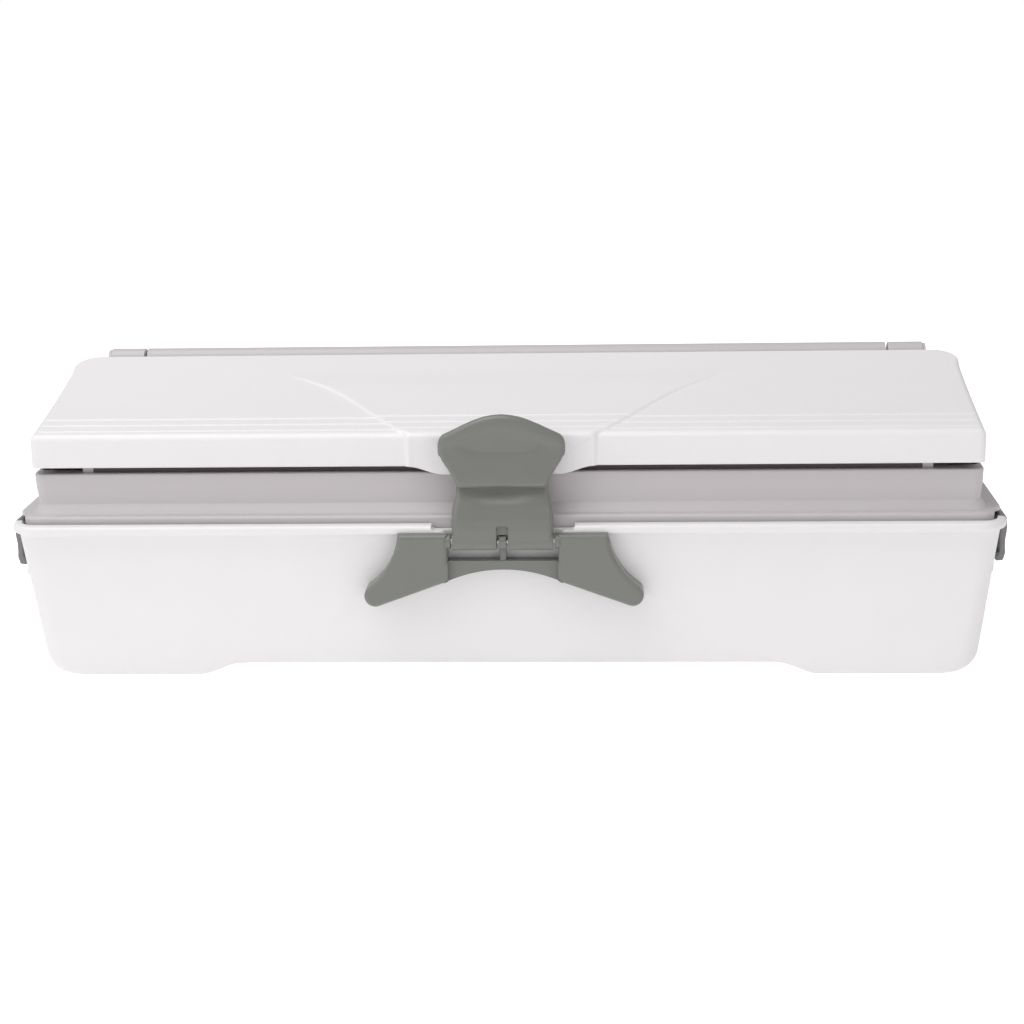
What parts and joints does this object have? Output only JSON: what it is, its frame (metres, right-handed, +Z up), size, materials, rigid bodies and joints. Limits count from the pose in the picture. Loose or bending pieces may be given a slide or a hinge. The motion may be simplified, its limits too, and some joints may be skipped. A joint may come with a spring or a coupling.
{
  "type": "cling film dispenser",
  "caption": "Bench cling film dispenser: moulded base and lift-off tray for two rolls, hinged lid with a cutter, front latch and end clips.",
  "frame": {"origin": "on the table, under the middle of the whole dispenser", "axes": "+X to the right along the rolls, seen from the front; +Y from the latch side to the hinge side; +Z up"},
  "size_m": [0.549, 0.1576, 0.165],
  "materials": {
    "base_shell": "white moulded plastic, soft gloss",
    "foot_pads": "soft matt pad",
    "latch_bracket": "grey-green moulded plastic, satin",
    "bracket_screws": "zinc plated",
    "latch_pin": "plain drawn",
    "latch_lever": "grey-green moulded plastic, satin",
    "tray": "pale grey moulded plastic, satin",
    "tray_grip_strip": "tacky strip",
    "hinge_rod": "plain drawn",
    "hinge_rod_caps": "pale grey moulded plastic, satin",
    "clip_pins": "plain drawn",
    "side_clip_left": "mid grey moulded plastic, satin",
    "side_clip_right": "mid grey moulded plastic, satin",
    "lid": "white moulded plastic, soft gloss",
    "lid_hinge_bar": "pale grey moulded plastic, satin",
    "cutter_blade": "ground strip",
    "blade_holder": "white extruded strip",
    "blade_screws": "zinc plated",
    "lid_press_strip": "soft strip",
    "upper_roll_core": "spiral wound card",
    "upper_film": "clear film wound tight",
    "upper_core_plugs": "grey moulded plug",
    "lower_roll_core": "spiral wound card",
    "lower_film": "clear film wound tight",
    "lower_core_plugs": "grey moulded plug"
  },
  "bodies": {
    "base": {"base_shell": "base_shell", "foot_pads": "foot_pads", "latch_bracket": "latch_bracket", "bracket_screws": "bracket_screws", "latch_pin": "latch_pin"},
    "latch": {"latch_lever": "latch_lever"},
    "tray": {"tray": "tray", "tray_grip_strip": "tray_grip_strip", "hinge_rod": "hinge_rod", "hinge_rod_caps": "hinge_rod_caps", "clip_pins": "clip_pins"},
    "clip_left": {"side_clip_left": "side_clip_left"},
    "clip_right": {"side_clip_right": "side_clip_right"},
    "lid": {"lid": "lid", "lid_hinge_bar": "lid_hinge_bar", "cutter_blade": "cutter_blade", "blade_holder": "blade_holder", "blade_screws": "blade_screws", "lid_press_strip": "lid_press_strip"},
    "upper_roll": {"upper_roll_core": "upper_roll_core", "upper_film": "upper_film", "upper_core_plugs": "upper_core_plugs"},
    "lower_roll": {"lower_roll_core": "lower_roll_core", "lower_film": "lower_film", "lower_core_plugs": "lower_core_plugs"}
  },
  "joints": [
    {"name": "latch_pivot", "type": "hinge", "parent": "base", "child": "latch", "pos_m": [0, -0.0737, 0.0825], "axis": [1, 0, 0], "range_deg": [-3, 95]},
    {"name": "tray_lift", "type": "slide", "parent": "base", "child": "tray", "axis": [0, 0, 1], "range_m": [0, 0.12]},
    {"name": "lid_hinge", "type": "hinge", "parent": "tray", "child": "lid", "pos_m": [0, 0.0718, 0.158], "axis": [-1, 0, 0], "range_deg": [0, 105]},
    {"name": "clip_left_pivot", "type": "hinge", "parent": "tray", "child": "clip_left", "pos_m": [-0.2712, 0.0028, 0.0873], "axis": [0, 1, 0], "range_deg": [-4.5, 85]},
    {"name": "clip_right_pivot", "type": "hinge", "parent": "tray", "child": "clip_right", "pos_m": [0.2712, 0.0028, 0.0873], "axis": [0, -1, 0], "range_deg": [-4.5, 85]},
    {"name": "upper_roll_spin", "type": "hinge", "parent": "tray", "child": "upper_roll", "pos_m": [0, 0.0088, 0.11], "axis": [1, 0, 0], "continuous": true},
    {"name": "lower_roll_spin", "type": "hinge", "parent": "base", "child": "lower_roll", "pos_m": [0, 0.0028, 0.045], "axis": [1, 0, 0], "continuous": true}
  ]
}
